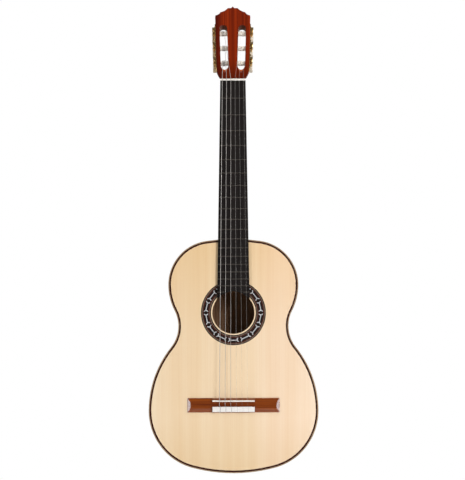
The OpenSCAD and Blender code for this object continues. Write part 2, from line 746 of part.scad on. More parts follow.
// Tuning machines
function side_of(i) = i <= 3 ? 1 : -1;
function row_of(i) = i <= 3 ? i - 1 : 6 - i;
module machine(i) side_frame(side_of(i)) translate([0, roller_rows[row_of(i)], roller_n]) children();
module turned(r, from, to) translate([from, 0, 0]) rotate([0, 90, 0]) cylinder(r = r, h = to - from);
module roller(i) color("ivory") part_frame() machine(i) difference() {
    turned(roller_d / 2, -roller_end - roller_len, -roller_end);
    turned(axle_d / 2 + 0.02, 2 - roller_len, over);
    translate([slot_c, 0, -roller_d]) cylinder(r = 1, h = 2 * roller_d);
}
module gear(i) color("goldenrod") part_frame() machine(i) difference() {
    union() {
        turned(axle_d / 2, 2.2 - roller_len, gear_in + over);
        turned(axle_d / 2 + 1.2, plate_t + run_gap, gear_in + over);
        turned(gear_root_r, gear_in, gear_in + gear_face);
        for (k = [0 : gear_teeth - 1]) translate([gear_mid, 0, 0]) rotate([0, 90, 0])
            rotate(90 + 360 / gear_teeth * k) rotate([-worm_lead_a, 0, 0]) tooth();
        turned(axle_d / 2, gear_in + gear_face, gear_in + gear_face + 1.2);
    }
    translate([gear_in + gear_face + 0.6, -far, -0.4]) cube([far, 2 * far, 0.8]);
}
module tooth() translate([0, 0, -gear_face / 2]) linear_extrude(gear_face) polygon(trapezoid(
    gear_root_r - 0.4, gear_tip_r, gear_pitch_r));
// Tooth section along a radius, with straight flanks
function trapezoid(from, to, pitch) = [for (p = [[from, -1], [to, -1], [to, 1], [from, 1]])
    [p[0], p[1] * (tooth_w / 2 - (p[0] - pitch) * flank)]];
thread_steps = 20;
thread_reach = worm_len / 2 - 0.9;
thread_from = floor((-thread_reach / worm_lead - 0.75) * thread_steps);
thread_to = floor((thread_reach / worm_lead - 0.75) * thread_steps);
thread_section = trapezoid(worm_root_r - 0.2, worm_tip_r, worm_pitch_d / 2);
module thread() loft([for (k = [thread_from : thread_to])
    let (t = 360 * k / thread_steps, n = worm_lead * (0.75 + k / thread_steps))
    [for (p = thread_section) [p[0] * cos(t), p[0] * sin(t), n + p[1]]]]);
button_in = 12;
module worm(i) color("goldenrod") part_frame() machine(i) translate([gear_mid, worm_gap, 0]) {
    thread();
    translate([0, 0, -worm_len / 2]) cylinder(r = worm_root_r, h = worm_len);
    translate([0, 0, -button_drop - button_in])
        cylinder(d = worm_shaft_d, h = button_drop + button_in + worm_len / 2 + post_t);
}
// Thickness at the rim of a button, and the radius of its two faces
button_rim_t = 3;
button_sag = (button_t - button_rim_t) / 2;
button_round = (pow(button_w / 2, 2) + pow(button_sag, 2)) / (2 * button_sag);
// Share of a button's diagonal that its rounded corners keep
button_oval = 0.82;
module button(i) color("linen") part_frame() machine(i)
    translate([gear_mid, worm_gap, -button_drop - button_len / 2]) difference() {
        intersection() {
            rotate([90, 0, 90]) translate([0, 0, -button_t]) linear_extrude(2 * button_t) intersection() {
                square([button_w, button_len], center = true);
                circle(d = button_oval * norm([button_w, button_len]));
            }
            rotate([90, 0, 0]) translate([0, 0, -button_w]) linear_extrude(2 * button_w) intersection() {
                translate([button_round - button_t / 2, 0]) circle(button_round, $fn = 120);
                translate([button_t / 2 - button_round, 0]) circle(button_round, $fn = 120);
            }
        }
        translate([0, 0, button_len / 2 - button_in])
            cylinder(d = worm_shaft_d + 2 * press_gap, h = button_len);
    }
post_w = 5.6;
// Room round a worm between its posts and over its plate
worm_room = worm_len + 0.2;
thread_gap = 0.25;
post_mid = (worm_room + post_t) / 2;
module machine_plates() color("gold") part_frame()
    for (side = [-1, 1]) side_frame(side) translate([0, 0, roller_n]) difference() {
        union() {
            block([0, plate_t], around(plate_shift, plate_len), around(0, plate_w));
            for (w = roller_rows, end = [-1, 1])
                block([0, post_out], around(w + worm_gap, post_w), around(end * post_mid, post_t));
        }
        for (w = roller_rows) translate([0, w, 0]) turned(axle_d / 2 + run_gap, -over, post_out);
        for (w = roller_rows) translate([gear_mid, w + worm_gap, -plate_w])
            cylinder(d = worm_shaft_d + 2 * run_gap, h = 2 * plate_w);
        for (w = roller_rows) translate([gear_mid, w + worm_gap, -worm_room / 2])
            cylinder(r = worm_tip_r + thread_gap, h = worm_room);
        for (w = screw_rows) translate([0, w, 0]) turned(screw_r + 2 * press_gap, -over, post_out);
    }
module plate_screws() color("gold") part_frame() for (side = [-1, 1], w = screw_rows)
    side_frame(side) translate([0, w, roller_n]) {
        turned(screw_r, -screw_len, plate_t + over / 2);
        turned(2 * screw_r, plate_t, plate_t + screw_r);
    }

// Strings, each one tube from its tie at the bridge to its turns on the roller
function head_point(p) = [p[0], nut_t + p[1] * cos(head_tilt) + p[2] * sin(head_tilt),
    p[2] * cos(head_tilt) - p[1] * sin(head_tilt)];
function side_point(side, p) = head_point([
    side * (side_x(roller_mid) + p[0] * cos(head_lean) + p[1] * sin(head_lean)),
    roller_mid + p[1] * cos(head_lean) - p[0] * sin(head_lean), p[2]]);
// The same place seen from the frame of a side of the head
function seen_from_side(side, q) = let (
    v = (q[1] - nut_t) * cos(head_tilt) - q[2] * sin(head_tilt),
    n = (q[1] - nut_t) * sin(head_tilt) + q[2] * cos(head_tilt),
    dx = side * q[0] - side_x(roller_mid), dv = v - roller_mid)
    [dx * cos(head_lean) - dv * sin(head_lean), dx * sin(head_lean) + dv * cos(head_lean), n];
winding_from = [slot_c + 3.7, slot_c - 2.3, slot_c - 1.3];
winding_way = [-1, 1, 1];
loop_rings = 24;
tail_len = 4;
// Room left under a string where it lies on the saddle or the tie block
lay_gap = 0.1;
function nut_back(i, r) = let (
    a = [saddle_x(i), saddle_y, saddle_h + lay_gap + r], b = [nut_x(i), 0, string_low + r])
    b + (b - a) * nut_t / (b[1] - a[1]);
function winding(i) = let (
    r = string_d[i - 1] / 2, side = side_of(i), row = row_of(i), wind_r = roller_d / 2 + wind_gap + r,
    q = seen_from_side(side, nut_back(i, r)) - [0, roller_rows[row], roller_n],
    start = atan2(q[2], q[1]) - acos(wind_r / norm([q[1], q[2]])),
    steps = winding_turns * loop_rings,
    last = start - 360 * winding_turns)
    [for (k = [0 : steps + 1]) let (
        t = start - 360 * min(k, steps) / loop_rings,
        a = winding_from[row] + winding_way[row] * winding_pitch * min(k, steps) / loop_rings,
        tail = k > steps ? tail_len * [0, sin(last), -cos(last)] : [0, 0, 0])
        side_point(side, [a, roller_rows[row] + wind_r * cos(t), roller_n + wind_r * sin(t)] + tail)];
tie_step = 1.8;
function tie(i) = let (r = string_d[i - 1] / 2, x = saddle_x(i), over_z = tie_h + cap_t + r + lay_gap,
    back = tie_back - r - 0.3, front = tie_front + r + 0.2) [
    [x + tie_step, front, tie_h - 1],
    [x + tie_step, front - 0.1, over_z - 0.3],
    [x + tie_step, front - 0.7, over_z],
    [x + tie_step, tie_back + 0.4, over_z],
    [x + tie_step * 0.9, back, over_z - 0.7],
    [x + tie_step * 0.2, back, tie_hole_z + 1],
    [x, back + 0.3, tie_hole_z + 0.2],
    [x, tie_back + 0.8, tie_hole_z],
    [x, tie_front + 0.6, tie_hole_z],
    [x, tie_front + 1.2, tie_hole_z + 0.35],
    [x, saddle_y - 0.6, saddle_h + lay_gap + r]];
function route(i) = let (r = string_d[i - 1] / 2)
    concat(tie(i), [[nut_x(i), 0, string_low + r], nut_back(i, r)], winding(i));
function unit(v) = v / norm(v);
// Heading of a route at one of its points, halfway between the runs that meet there
function turn(p, i) = i == 0 ? unit(p[1] - p[0])
    : i == len(p) - 1 ? unit(p[i] - p[i - 1])
    : unit(unit(p[i + 1] - p[i]) + unit(p[i] - p[i - 1]));
function carried(u, t) = unit(u - (u * t) * t);
tube_sides = 6;
module tube(p, r) {
    t = [for (i = [0 : len(p) - 1]) turn(p, i)];
    first = carried(abs(t[0][0]) < 0.8 ? [1, 0, 0] : [0, 1, 0], t[0]);
    ups = [for (i = 0, u = first; i < len(p); i = i + 1, u = i < len(p) ? carried(u, t[i]) : u) u];
    loft([for (i = [0 : len(p) - 1]) [for (k = [0 : tube_sides - 1]) let (a = -360 * k / tube_sides)
        p[i] + r * (cos(a) * ups[i] + sin(a) * cross(t[i], ups[i]))]]);
}
module wire(i) color(i <= 3 ? "whitesmoke" : "silver") part_frame() tube(route(i), string_d[i - 1] / 2);

soundboard();
rosette();
rosette_links();
back_plate();
rib_left();
rib_right();
top_binding();
back_binding();
top_purfling();
top_linings();
back_linings();
fan_braces();
harmonic_bars();
soundhole_patch();
back_braces();
back_strip();
tail_block();
end_graft();
neck();
headstock();
head_veneer();
heel_cap();
fretboard();
frets();
nut();
bridge();
saddle();
tie_block_cap();
machine_plates();
plate_screws();
for (i = [1 : 6]) wire(i);
for (i = [1 : 6]) roller(i);
for (i = [1 : 6]) gear(i);
for (i = [1 : 6]) worm(i);
for (i = [1 : 6]) button(i);
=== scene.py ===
"""Classical guitar: finishes, strings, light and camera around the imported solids."""
import math

import bpy
from mathutils import Matrix, Vector


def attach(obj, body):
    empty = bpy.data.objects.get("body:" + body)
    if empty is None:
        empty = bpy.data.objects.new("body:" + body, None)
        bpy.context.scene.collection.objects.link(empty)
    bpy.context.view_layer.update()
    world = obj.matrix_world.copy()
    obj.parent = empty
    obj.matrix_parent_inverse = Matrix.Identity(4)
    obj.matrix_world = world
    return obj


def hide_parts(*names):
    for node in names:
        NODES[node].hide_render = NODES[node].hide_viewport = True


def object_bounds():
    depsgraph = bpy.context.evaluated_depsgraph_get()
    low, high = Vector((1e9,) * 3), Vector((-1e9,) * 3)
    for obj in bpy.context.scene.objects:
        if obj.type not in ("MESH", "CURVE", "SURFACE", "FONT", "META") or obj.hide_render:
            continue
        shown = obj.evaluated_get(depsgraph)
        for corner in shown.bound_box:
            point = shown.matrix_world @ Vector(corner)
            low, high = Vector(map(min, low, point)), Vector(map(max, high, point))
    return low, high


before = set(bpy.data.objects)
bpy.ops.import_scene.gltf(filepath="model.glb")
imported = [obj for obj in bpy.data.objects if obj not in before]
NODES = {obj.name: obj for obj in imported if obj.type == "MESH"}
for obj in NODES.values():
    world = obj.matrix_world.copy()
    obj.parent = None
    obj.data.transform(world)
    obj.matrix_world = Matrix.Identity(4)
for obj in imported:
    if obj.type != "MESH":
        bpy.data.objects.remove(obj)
CAD_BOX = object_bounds()
MM = 0.001

# Sizes shared with the solids, in millimetres
SCALE_LEN = 650
COMPENSATION = 1.5
NUT_SPREAD = 43.5
SADDLE_SPREAD = 57
STRING_D = [0.71, 0.82, 1.02, 0.74, 0.89, 1.1]
HOLE_Y = -475
ROSETTE_IN_R = 45.5
ROSETTE_OUT_R = 66
NUT_T = 3.6
HEAD_TILT = math.radians(15)
SADDLE_Y = -SCALE_LEN - COMPENSATION
SADDLE_H = 12
STRING_LOW = 8.15
LAY_GAP = 0.1
SADDLE_FRONT = 4.25
BRIDGE_W = 28.5
TIE_INSET = 2
TIE_W = 10.4
TIE_BACK = SADDLE_Y + SADDLE_FRONT - BRIDGE_W + TIE_INSET
TIE_FRONT = TIE_BACK + TIE_W
TIE_H = 8
CAP_T = 1
TIE_HOLE_Z = 5.9
TIE_STEP = 1.8
HEAD_TOP_W = 74.8
HEAD_LOW_W = 66.8
HEAD_HIGH = 148.5
HEAD_LOW = 20
HEAD_LEAN = math.atan((HEAD_TOP_W - HEAD_LOW_W) / 2 / (HEAD_HIGH - HEAD_LOW))
ROLLER_MID = 78
ROLLER_ROWS = (-35.5, 0, 35.5)
ROLLER_R = 5
ROLLER_N = -8.5
SIDE_X = HEAD_LOW_W / 2 + (ROLLER_MID - HEAD_LOW) * math.tan(HEAD_LEAN)
SLOT_WALL = 8.7
SLOT_W = 16
SLOT_C = -SLOT_WALL - SLOT_W / 2
WIND_GAP = 0.3
WINDING_TURNS = 3
WINDING_PITCH = 1.6
WINDING_FROM = (SLOT_C + 3.7, SLOT_C - 2.3, SLOT_C - 1.3)
WINDING_WAY = (-1, 1, 1)
LOOP_POINTS = 48
TAIL_LEN = 4

# The photograph's width and the camera that fits its frets, nut, saddle and rollers
IMAGE_W = 465
SENSOR_W = 36
FOCAL_PX = 714.8
CAMERA_PLACE = (-0.0015, -1.4594, -0.3823)
CAMERA_PITCH = math.radians(2.172)
CAMERA_ROLL = math.radians(-0.12)

# Light: strengths and colours, and where the dim room in front gives way to the white behind
AMBIENT = 0.24
ROOM = 0.12
ROOM_EDGE = (-0.25, 0.15)
WARM = (1.0, 0.93, 0.82, 1)
COOL = (0.86, 0.95, 1.0)
FLOOR_R = 1.05
FLOOR_DROP = 0.35

# Faces that show another finish than the rest of their solid: the raw inside of the back, and the
# headstock's string ramps, which get a lighter copy of its cedar as painted light
INSIDE_NORMAL_Y = -0.5
RAMP_NORMAL_Y = -0.2
RAMP_NORMAL_Z = 0.4
RAMP_Z = (0.015, 0.05)

# How many times wider the broad figure of a wood is than its fine grain
BROAD_FIGURE = 9
BLACK = (0, 0, 0, 1)

# Painted shade in two woods, slowly darker where less light falls: the axis, then places in metres and
# factors of the colour
# Spruce: painted shade, darker and warmer towards the lower end, at the top of the upper bout and left of
# the middle
SPRUCE_PAINTED_SHADE = [
    ("Z", [(-0.785, (0.91, 0.88, 0.81)), (-0.69, (1, 1, 1)), (-0.52, (1, 1, 1)),
           (-0.35, (0.965, 0.90, 0.775))]),
    ("X", [(0.03, (0.957, 0.957, 0.877)), (0.08, (1, 1, 1))])]
# Head veneer: painted shade, darker at the bottom of the head and along its left edge
VENEER_PAINTED_SHADE = [
    ("Z", [(0.0, (0.44, 0.5, 0.6)), (0.05, (1, 1, 1))]),
    ("X", [(-0.029, (0.48, 0.35, 0.6)), (-0.024, (1, 1, 1))])]


def linear(r, g, b):
    """An sRGB colour, given from 0 to 255, as linear values with alpha."""
    def channel(v):
        v = v / 255
        return v / 12.92 if v <= 0.04045 else ((v + 0.055) / 1.055) ** 2.4
    return (channel(r), channel(g), channel(b), 1.0)


class Finish:
    """A node material with short helpers for its textures."""

    def __init__(self, name, roughness=0.4, coat=0.0, metallic=0.0, specular=0.5):
        self.material = bpy.data.materials.new(name)
        self.material.use_nodes = True
        self.tree = self.material.node_tree
        self.shader = self.tree.nodes["Principled BSDF"]
        self.shader.inputs["Roughness"].default_value = roughness
        self.shader.inputs["Coat Weight"].default_value = coat
        self.shader.inputs["Coat Roughness"].default_value = 0.08
        self.shader.inputs["Metallic"].default_value = metallic
        self.shader.inputs["Specular IOR Level"].default_value = specular
        self.place = self.add("ShaderNodeTexCoord").outputs["Object"]

    def add(self, kind, **values):
        node = self.tree.nodes.new(kind)
        for key, value in values.items():
            setattr(node, key, value)
        return node

    def join(self, source, target):
        self.tree.links.new(source, target)

    def stretched(self, scale, turn=(0, 0, 0)):
        node = self.add("ShaderNodeMapping")
        node.inputs["Scale"].default_value = scale
        node.inputs["Rotation"].default_value = turn
        self.join(self.place, node.inputs["Vector"])
        return node.outputs["Vector"]

    def noise(self, vector, scale=1.0, detail=3.0, roughness=0.55):
        node = self.add("ShaderNodeTexNoise")
        node.inputs["Scale"].default_value = scale
        node.inputs["Detail"].default_value = detail
        node.inputs["Roughness"].default_value = roughness
        self.join(vector, node.inputs["Vector"])
        return node.outputs["Fac"]

    def ramp(self, fac, stops, hard=False):
        node = self.add("ShaderNodeValToRGB")
        node.color_ramp.interpolation = "CONSTANT" if hard else "LINEAR"
        for index, (place, colour) in enumerate(stops):
            element = node.color_ramp.elements[index] if index < 2 else node.color_ramp.elements.new(place)
            element.position = place
            element.color = colour
        self.join(fac, node.inputs["Fac"])
        return node.outputs["Color"]

    def mixed(self, fac, a, b, kind="MIX"):
        node = self.add("ShaderNodeMix", data_type="RGBA", blend_type=kind)
        for value, key in ((fac, "Factor"), (a, "A"), (b, "B")):
            socket = [s for s in node.inputs if s.name == key and s.enabled][0]
            if isinstance(value, (int, float, tuple)):
                socket.default_value = value
            else:
                self.join(value, socket)
        return [s for s in node.outputs if s.enabled][0]

    def math(self, kind, a, b=None):
        node = self.add("ShaderNodeMath", operation=kind)
        for value, socket in ((a, node.inputs[0]), (b, node.inputs[1])):
            if isinstance(value, (int, float)):
                socket.default_value = value
            elif value is not None:
                self.join(value, socket)
        return node.outputs["Value"]

    def axis(self, name):
        node = self.add("ShaderNodeSeparateXYZ")
        self.join(self.place, node.inputs["Vector"])
        return node.outputs[name]

    def painted_shade_along(self, colour, axis, stops):
        """The colour multiplied slowly along one axis by factors at places given in metres, as painted
        shade.
        """
        low, high = stops[0][0], stops[-1][0]
        share = self.add("ShaderNodeMapRange")
        share.inputs["From Min"].default_value = low
        share.inputs["From Max"].default_value = high
        self.join(self.axis(axis), share.inputs["Value"])
        shade_factor = self.ramp(share.outputs["Result"],
                         [((place - low) / (high - low), (*factor, 1)) for place, factor in stops])
        return self.mixed(1.0, colour, shade_factor, "MULTIPLY")

    def coloured(self, colour):
        self.join(colour, self.shader.inputs["Base Color"])
        return self

    def rough(self, fac, low, high):
        node = self.add("ShaderNodeMapRange")
        node.inputs["To Min"].default_value = low
        node.inputs["To Max"].default_value = high
        self.join(fac, node.inputs["Value"])
        self.join(node.outputs["Result"], self.shader.inputs["Roughness"])
        return self

    def bumped(self, fac, strength, depth=0.0002):
        node = self.add("ShaderNodeBump")
        node.inputs["Strength"].default_value = strength
        node.inputs["Distance"].default_value = depth
        self.join(fac, node.inputs["Height"])
        self.join(node.outputs["Normal"], self.shader.inputs["Normal"])
        return self


def wood(name, dark, light, lines, along, roughness=0.4, coat=0.0, specular=0.3, bump=0.1, figure=0.4,
         span=(0.34, 0.64), stretch=60, leaning=False, painted_shades=()):
    """Wood whose fine lines repeat about `lines` times a metre across the grain and run along one axis.

    On a leaning piece the grain also keeps still along Y, so that the tilt doesn't cut it into blotches.
    """
    finish = Finish(name, roughness, coat, 0.0, specular)
    across = [lines, lines, lines]
    across["XYZ".index(along)] = lines / stretch
    if leaning:
        across[1] = lines / stretch
    broad = [v / BROAD_FIGURE for v in across]
    fine = finish.noise(finish.stretched(across), 1.0, 4.0, 0.6)
    wide = finish.noise(finish.stretched(broad), 1.0, 3.0, 0.5)
    blend = finish.mixed(figure, fine, wide)
    colour = finish.ramp(blend, [(span[0], dark), (span[1], light)])
    # Painted shade: the colour darkened along the given axes
    for axis, stops in painted_shades:
        colour = finish.painted_shade_along(colour, axis, stops)
    finish.coloured(colour)
    finish.rough(fine, roughness * 0.85, roughness * 1.2)
    return finish.bumped(fine, bump).material


def spruce():
    """Close-grained spruce, joined along the middle so that its two halves mirror each other."""
    finish = Finish("spruce", 0.4, 0.0, 0.0, 0.25)
    half = finish.add("ShaderNodeCombineXYZ")
    side = finish.math("ABSOLUTE", finish.axis("X"))
    finish.join(side, half.inputs["X"])
    finish.join(finish.axis("Z"), half.inputs["Z"])

    def streaks(across, along):
        stretch = finish.add("ShaderNodeMapping")
        stretch.inputs["Scale"].default_value = (across, 1, along)
        finish.join(half.outputs["Vector"], stretch.inputs["Vector"])
        return finish.noise(stretch.outputs["Vector"], 1.0, 2.0, 0.5)

    lines = streaks(520, 4)
    bands = streaks(34, 1.0)
    silk = finish.noise(finish.stretched((50, 50, 180)), 1.0, 2.0, 0.6)
    base = finish.ramp(bands, [(0.3, linear(244, 213, 180)), (0.7, linear(251, 227, 202))])
    lined = finish.mixed(finish.ramp(lines, [(0.4, BLACK), (0.8, (0.22, 0.22, 0.22, 1))]),
                         base, linear(230, 190, 146))
    silky = finish.mixed(finish.ramp(silk, [(0.5, BLACK), (0.9, (0.10, 0.10, 0.10, 1))]),
                         lined, linear(251, 236, 213))
    # Painted shade: darker and warmer towards the lower end, the upper bout and the left
    for axis, stops in SPRUCE_PAINTED_SHADE:
        silky = finish.painted_shade_along(silky, axis, stops)
    finish.coloured(silky)
    return finish.rough(bands, 0.36, 0.46).bumped(lines, 0.04).material


def rosette_finish():
    """Concentric veneer lines round the soundhole, from the inside out."""
    finish = Finish("rosette", 0.45, 0.0, 0.0, 0.15)
    away = finish.add("ShaderNodeVectorMath", operation="DISTANCE")
    flat = finish.add("ShaderNodeCombineXYZ")
    finish.join(finish.axis("X"), flat.inputs["X"])
    finish.join(finish.axis("Z"), flat.inputs["Z"])
    finish.join(flat.outputs["Vector"], away.inputs[0])
    away.inputs[1].default_value = (0, 0, HOLE_Y * MM)
    span = (ROSETTE_OUT_R - ROSETTE_IN_R) * MM
    share = finish.math("DIVIDE", finish.math("SUBTRACT", away.outputs["Value"], ROSETTE_IN_R * MM), span)
    black, red, grey = linear(26, 17, 14), linear(84, 36, 24), linear(127, 106, 92)
    rings = finish.ramp(share, [
        (0.0, black), (0.10, grey), (0.16, black), (0.21, red), (0.27, black), (0.745, red), (0.80, black),
        (0.84, grey), (0.90, black)], hard=True)
    speck = finish.noise(finish.stretched((900, 900, 900)), 1.0, 2.0)
    dusting = finish.ramp(speck, [(0.4, BLACK), (0.9, (0.12, 0.12, 0.12, 1))])
    finish.coloured(finish.mixed(dusting, rings, red))
    return finish.bumped(speck, 0.05).material


def shell():
    """Clouded shell of the rosette's links."""
    finish = Finish("shell", 0.2, 0.3, 0.0, 0.5)
    cloud = finish.noise(finish.stretched((260, 260, 420)), 1.0, 4.0, 0.6)
    finish.coloured(finish.ramp(cloud, [(0.36, linear(124, 120, 124)), (0.5, linear(222, 222, 226)),
                                        (0.64, linear(150, 152, 158))]))
    return finish.bumped(cloud, 0.05).material


def ivory(name, low, high, roughness):
    """Faintly clouded bone or ivory."""
    finish = Finish(name, roughness, 0.0, 0.0, 0.4)
    cloud = finish.noise(finish.stretched((220, 220, 90)), 1.0, 4.0, 0.6)
    finish.coloured(finish.ramp(cloud, [(0.3, low), (0.7, high)]))
    return finish.rough(cloud, roughness * 0.8, roughness * 1.3).bumped(cloud, 0.04).material


def metal(name, low, high, roughness):
    """Metal with fine scratches in its colour, gloss and surface."""
    finish = Finish(name, roughness, 0.0, 1.0)
    scratch = finish.noise(finish.stretched((900, 900, 2600)), 1.0, 3.0, 0.6)
    finish.coloured(finish.ramp(scratch, [(0.3, low), (0.7, high)]))
    return finish.rough(scratch, roughness * 0.7, roughness * 1.4).bumped(scratch, 0.05).material


def pearl(name, veins, body, cloud):
    """Polished pearl of the buttons."""
    finish = Finish(name, 0.3, 0.0, 0.0, 0.2)
    swirl = finish.noise(finish.stretched((120, 120, 90), (0.4, 0.3, 0.2)), 1.0, 5.0, 0.65)
    finish.coloured(finish.ramp(swirl, [(0.3, veins), (0.5, body), (0.68, cloud)]))
    return finish.rough(swirl, 0.14, 0.28).material


def nylon():
    """Clear drawn nylon of the treble strings."""
    finish = Finish("nylon_string", 0.6, 0.0, 0.0, 0.0)
    finish.shader.inputs["Alpha"].default_value = 0.09
    haze = finish.noise(finish.stretched((300, 300, 40)), 1.0, 2.0)
    finish.coloured(finish.ramp(haze, [(0.3, linear(240, 234, 232)), (0.7, linear(252, 250, 248))]))
    return finish.material


def wound():
    """Fine silvered wire wound round the bass strings."""
    finish = Finish("wound_string", 0.3, 0.0, 0.2, 0.5)
    turns = finish.add("ShaderNodeTexWave", wave_type="BANDS", bands_direction="Z", wave_profile="SIN")
    turns.inputs["Scale"].default_value = 1200
    finish.join(finish.place, turns.inputs["Vector"])
    wave = turns.outputs["Fac"]
    finish.coloured(finish.ramp(wave, [(0.1, linear(166, 160, 158)), (0.6, linear(206, 201, 198))]))
    return finish.bumped(wave, 0.15, 0.0001).material


def paint_nodes():
    """Give every solid its finish."""
    top = spruce()
    rosewood = wood("rosewood", linear(52, 22, 14), linear(112, 56, 34), 260, "Z",
                    roughness=0.5, specular=0.1, bump=0.05)
    raw = wood("rosewood_inside", linear(112, 80, 57), linear(163, 127, 100), 260, "Z",
               roughness=0.8, specular=0.05)
    bridge_wood = wood("bridge_rosewood", linear(98, 34, 0), linear(148, 69, 4), 420, "X",
                       roughness=0.35, coat=1.0, specular=0.1)
    edge = wood("edge_binding", linear(136, 110, 84), linear(178, 152, 122), 300, "Z", roughness=0.35)
    line = wood("edge_line", linear(38, 6, 4), linear(58, 14, 10), 500, "Z", specular=0.15)
    inner = wood("inner_cedar", linear(160, 118, 78), linear(206, 164, 116), 300, "X",
                 roughness=0.7, specular=0.15)
    cedar = wood("neck_cedar", linear(74, 34, 18), linear(118, 62, 34), 320, "Z",
                 roughness=0.55, specular=0.06)
    head_cedar = wood("head_cedar", linear(74, 34, 18), linear(118, 62, 34), 320, "Z",
                      roughness=0.55, specular=0.06, leaning=True)
    # A lighter copy of the head's cedar for the string ramps: painted light where the lamps fall on them
    ramp = wood("ramp_cedar_painted_light", linear(150, 66, 24), linear(200, 104, 50), 320, "Z",
                roughness=0.55, specular=0.06)
    # The head veneer carries painted shade at the bottom of the head and along its left edge
    veneer = wood("head_veneer", linear(78, 10, 0), linear(158, 49, 5), 240, "Z",
                  specular=0.05, bump=0.05, figure=0.35, span=(0.36, 0.64), stretch=200, leaning=True,
                  painted_shades=VENEER_PAINTED_SHADE)
    ebony = wood("ebony", linear(15, 12, 12), linear(35, 30, 29), 500, "Z", roughness=0.5, specular=0.08)
    gold = metal("gold_plate", linear(178, 138, 78), linear(228, 198, 140), 0.25)
    fret_metal = metal("fret_wire", linear(68, 63, 59), linear(98, 92, 86), 0.35)
    bone = ivory("bone", linear(240, 234, 226), linear(252, 249, 244), 0.4)
    cap = ivory("tie_cap", linear(234, 229, 226), linear(246, 243, 241), 0.35)
    roller = ivory("roller_ivory", linear(246, 236, 220), linear(254, 249, 240), 0.3)
    pale = pearl("pearl_pale", linear(222, 202, 172), linear(246, 236, 218), linear(232, 218, 200))
    # A darker amber copy of the pearl for the buttons on the side away from the key light: painted shade
    shaded_pearl = pearl("pearl_painted_shade", linear(164, 136, 92), linear(212, 188, 146), linear(188, 162, 118))
    finishes = {
        "soundboard": top, "rosette": rosette_finish(), "rosette_links": shell(), "back_plate": rosewood,
        "rib_left": rosewood, "rib_right": rosewood, "top_binding": edge, "back_binding": edge,
        "top_purfling": line, "end_graft": edge, "heel_cap": edge, "neck": cedar, "headstock": head_cedar,
        "head_veneer": veneer, "fretboard": ebony, "frets": fret_metal, "nut": bone, "saddle": bone,
        "bridge": bridge_wood, "tie_block_cap": cap, "machine_plates": gold, "plate_screws": gold,
    }
    for name in ("top_linings", "back_linings", "fan_braces", "harmonic_bars", "soundhole_patch",
                 "back_braces", "tail_block"):
        finishes[name] = inner
    finishes["back_strip"] = raw
    for i in range(1, 7):
        finishes[f"roller_{i}"] = roller
        finishes[f"gear_{i}"] = gold
        finishes[f"worm_{i}"] = gold
        # Buttons 4 to 6 take the shaded pearl copy: painted shade
        finishes[f"button_{i}"] = pale if i <= 3 else shaded_pearl
    for name, finish in finishes.items():
        data = NODES[name].data
        data.materials.clear()
        data.materials.append(finish)
    inside = NODES["back_plate"].data
    inside.materials.append(raw)
    for face in inside.polygons:
        face.material_index = 1 if face.normal.y < INSIDE_NORMAL_Y else 0
    # The string ramps of the headstock take the lighter cedar copy: painted light
    head = NODES["headstock"].data
    head.materials.append(ramp)
    for face in head.polygons:
        leans = face.normal.y < RAMP_NORMAL_Y and face.normal.z > RAMP_NORMAL_Z
        if leans and RAMP_Z[0] < face.center.z < RAMP_Z[1]:
            face.material_index = 1


def surround():
    """White behind the object for camera and metal, a dim room in front of it, and a plain ambient light."""
    world = bpy.data.worlds.new("studio")
    bpy.context.scene.world = world
    world.use_nodes = True
    tree = world.node_tree

    def background(strength, colour=(1, 1, 1, 1)):
        node = tree.nodes.new("ShaderNodeBackground")
        node.inputs["Color"].default_value = colour
        node.inputs["Strength"].default_value = strength
        return node

    def pick(fac, first, second):
        node = tree.nodes.new("ShaderNodeMixShader")
        tree.links.new(fac, node.inputs["Fac"])
        tree.links.new(first, node.inputs[1])
        tree.links.new(second, node.inputs[2])
        return node.outputs["Shader"]

    ambient, room, white = (background(*v).outputs["Background"]
                            for v in ((AMBIENT, WARM), (ROOM,), (1.0,)))
    path = tree.nodes.new("ShaderNodeLightPath")
    seen = tree.nodes.new("ShaderNodeMath")
    seen.operation = "MAXIMUM"
    tree.links.new(path.outputs["Is Camera Ray"], seen.inputs[0])
    tree.links.new(path.outputs["Is Transmission Ray"], seen.inputs[1])
    heading = tree.nodes.new("ShaderNodeSeparateXYZ")
    tree.links.new(tree.nodes.new("ShaderNodeTexCoord").outputs["Generated"], heading.inputs["Vector"])
    behind = tree.nodes.new("ShaderNodeMapRange")
    behind.inputs["From Min"].default_value = ROOM_EDGE[0]
    behind.inputs["From Max"].default_value = ROOM_EDGE[1]
    tree.links.new(heading.outputs["Y"], behind.inputs["Value"])
    mirrored = pick(behind.outputs["Result"], room, white)
    light = pick(path.outputs["Is Glossy Ray"], ambient, mirrored)
    tree.links.new(pick(seen.outputs["Value"], light, white), tree.nodes["World Output"].inputs["Surface"])
    tree.nodes.remove(tree.nodes["Background"])


